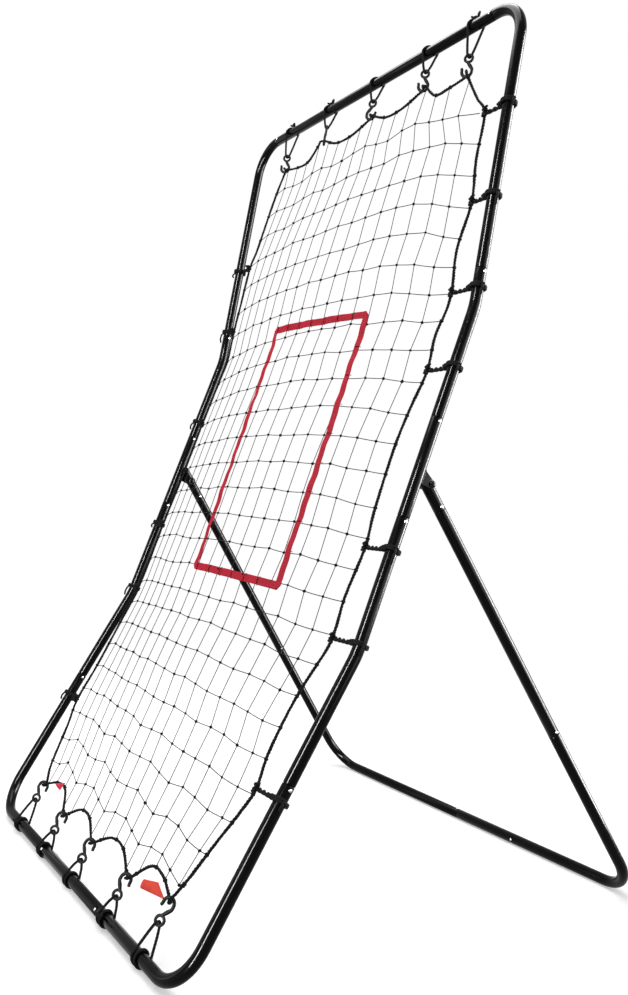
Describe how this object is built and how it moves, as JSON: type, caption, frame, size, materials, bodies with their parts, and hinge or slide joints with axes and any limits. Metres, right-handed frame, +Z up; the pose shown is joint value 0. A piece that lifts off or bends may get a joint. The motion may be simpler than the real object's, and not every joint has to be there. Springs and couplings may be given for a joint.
{
  "type": "pitching target net",
  "caption": "Free-standing rebound net with a strike-zone rectangle, hooked in a bent tube frame on a fold-out rear leg.",
  "frame": {"origin": "centre of the footprint at ground level", "axes": "+Z up, +X to the right of the net seen from the pitcher's side, -Y towards the pitcher"},
  "size_m": [0.9588, 0.909, 1.5682],
  "materials": {
    "black_steel": "gloss black powder coat on steel tube",
    "bright_steel": "bright zinc-plated buttons and bolts",
    "black_hook": "moulded black plastic",
    "elastic_cord": "black braided cover on rubber strands",
    "border_rope": "black twisted cord",
    "net_twine": "thin dark grey knotted twine",
    "red_webbing": "red woven tape"
  },
  "bodies": {
    "frame": {"right_bottom_corner_tube": "black_steel", "right_lower_bent_tube": "black_steel", "right_hinge_tube": "black_steel", "right_upper_bent_tube": "black_steel", "right_top_corner_tube": "black_steel", "right_hinge_bolt": "bright_steel", "left_bottom_corner_tube": "black_steel", "left_lower_bent_tube": "black_steel", "left_hinge_tube": "black_steel", "left_upper_bent_tube": "black_steel", "left_top_corner_tube": "black_steel", "left_hinge_bolt": "bright_steel", "top_centre_tube": "black_steel", "bottom_centre_tube": "black_steel", "top_1_hook": "black_hook", "top_1_elastic_loop": "elastic_cord", "bottom_1_hook": "black_hook", "bottom_1_elastic_loop": "elastic_cord", "top_2_hook": "black_hook", "top_2_elastic_loop": "elastic_cord", "bottom_2_hook": "black_hook", "bottom_2_elastic_loop": "elastic_cord", "top_3_hook": "black_hook", "top_3_elastic_loop": "elastic_cord", "bottom_3_hook": "black_hook", "bottom_3_elastic_loop": "elastic_cord", "top_4_hook": "black_hook", "top_4_elastic_loop": "elastic_cord", "bottom_4_hook": "black_hook", "bottom_4_elastic_loop": "elastic_cord", "top_5_hook": "black_hook", "top_5_elastic_loop": "elastic_cord", "bottom_5_hook": "black_hook", "bottom_5_elastic_loop": "elastic_cord", "border_rope_with_ties": "border_rope", "net": "net_twine", "strike_zone_webbing": "red_webbing"},
    "rear_leg": {"right_leg_upper_tube": "black_steel", "right_leg_middle_tube": "black_steel", "right_leg_foot_tube": "black_steel", "left_leg_upper_tube": "black_steel", "left_leg_middle_tube": "black_steel", "left_leg_foot_tube": "black_steel"},
    "right_lower_button": {"right_lower_button": "bright_steel"},
    "right_below_hinge_button": {"right_below_hinge_button": "bright_steel"},
    "right_above_hinge_button": {"right_above_hinge_button": "bright_steel"},
    "right_upper_button": {"right_upper_button": "bright_steel"},
    "right_bottom_button": {"right_bottom_button": "bright_steel"},
    "right_top_button": {"right_top_button": "bright_steel"},
    "left_lower_button": {"left_lower_button": "bright_steel"},
    "left_below_hinge_button": {"left_below_hinge_button": "bright_steel"},
    "left_above_hinge_button": {"left_above_hinge_button": "bright_steel"},
    "left_upper_button": {"left_upper_button": "bright_steel"},
    "left_bottom_button": {"left_bottom_button": "bright_steel"},
    "left_top_button": {"left_top_button": "bright_steel"},
    "leg_base_button": {"leg_base_button": "bright_steel"},
    "right_leg_upper_button": {"right_leg_upper_button": "bright_steel"},
    "right_leg_lower_button": {"right_leg_lower_button": "bright_steel"},
    "left_leg_upper_button": {"left_leg_upper_button": "bright_steel"},
    "left_leg_lower_button": {"left_leg_lower_button": "bright_steel"}
  },
  "joints": [
    {"name": "leg_fold", "type": "hinge", "parent": "frame", "child": "rear_leg", "pos_m": [0, -0.03375, 0.72447], "axis": [-1, 0, 0], "range_deg": [0, 54.6]},
    {"name": "right_lower_button_press", "type": "slide", "parent": "frame", "child": "right_lower_button", "axis": [-1, 0, 0], "range_m": [0, 0.004], "stiffness_N_per_m": 1500, "springref_m": -0.002},
    {"name": "right_below_hinge_button_press", "type": "slide", "parent": "frame", "child": "right_below_hinge_button", "axis": [-1, 0, 0], "range_m": [0, 0.004], "stiffness_N_per_m": 1500, "springref_m": -0.002},
    {"name": "right_above_hinge_button_press", "type": "slide", "parent": "frame", "child": "right_above_hinge_button", "axis": [-1, 0, 0], "range_m": [0, 0.004], "stiffness_N_per_m": 1500, "springref_m": -0.002},
    {"name": "right_upper_button_press", "type": "slide", "parent": "frame", "child": "right_upper_button", "axis": [-1, 0, 0], "range_m": [0, 0.004], "stiffness_N_per_m": 1500, "springref_m": -0.002},
    {"name": "right_bottom_button_press", "type": "slide", "parent": "frame", "child": "right_bottom_button", "axis": [0, 0.8526, -0.5225], "range_m": [0, 0.004], "stiffness_N_per_m": 1500, "springref_m": -0.002},
    {"name": "right_top_button_press", "type": "slide", "parent": "frame", "child": "right_top_button", "axis": [0, 0.9857, -0.1685], "range_m": [0, 0.004], "stiffness_N_per_m": 1500, "springref_m": -0.002},
    {"name": "left_lower_button_press", "type": "slide", "parent": "frame", "child": "left_lower_button", "axis": [-1, 0, 0], "range_m": [0, 0.004], "stiffness_N_per_m": 1500, "springref_m": -0.002},
    {"name": "left_below_hinge_button_press", "type": "slide", "parent": "frame", "child": "left_below_hinge_button", "axis": [-1, 0, 0], "range_m": [0, 0.004], "stiffness_N_per_m": 1500, "springref_m": -0.002},
    {"name": "left_above_hinge_button_press", "type": "slide", "parent": "frame", "child": "left_above_hinge_button", "axis": [-1, 0, 0], "range_m": [0, 0.004], "stiffness_N_per_m": 1500, "springref_m": -0.002},
    {"name": "left_upper_button_press", "type": "slide", "parent": "frame", "child": "left_upper_button", "axis": [-1, 0, 0], "range_m": [0, 0.004], "stiffness_N_per_m": 1500, "springref_m": -0.002},
    {"name": "left_bottom_button_press", "type": "slide", "parent": "frame", "child": "left_bottom_button", "axis": [0, 0.8526, -0.5225], "range_m": [0, 0.004], "stiffness_N_per_m": 1500, "springref_m": -0.002},
    {"name": "left_top_button_press", "type": "slide", "parent": "frame", "child": "left_top_button", "axis": [0, 0.9857, -0.1685], "range_m": [0, 0.004], "stiffness_N_per_m": 1500, "springref_m": -0.002},
    {"name": "leg_base_button_press", "type": "slide", "parent": "rear_leg", "child": "leg_base_button", "axis": [0, 0, -1], "range_m": [0, 0.004], "stiffness_N_per_m": 1500, "springref_m": -0.002},
    {"name": "right_leg_upper_button_press", "type": "slide", "parent": "rear_leg", "child": "right_leg_upper_button", "axis": [-0.9993, 0.0214, -0.0319], "range_m": [0, 0.004], "stiffness_N_per_m": 1500, "springref_m": -0.002},
    {"name": "right_leg_lower_button_press", "type": "slide", "parent": "rear_leg", "child": "right_leg_lower_button", "axis": [-0.9993, 0.0214, -0.0319], "range_m": [0, 0.004], "stiffness_N_per_m": 1500, "springref_m": -0.002},
    {"name": "left_leg_upper_button_press", "type": "slide", "parent": "rear_leg", "child": "left_leg_upper_button", "axis": [-0.9993, -0.0214, 0.0319], "range_m": [0, 0.004], "stiffness_N_per_m": 1500, "springref_m": -0.002},
    {"name": "left_leg_lower_button_press", "type": "slide", "parent": "rear_leg", "child": "left_leg_lower_button", "axis": [-0.9993, -0.0214, 0.0319], "range_m": [0, 0.004], "stiffness_N_per_m": 1500, "springref_m": -0.002}
  ]
}
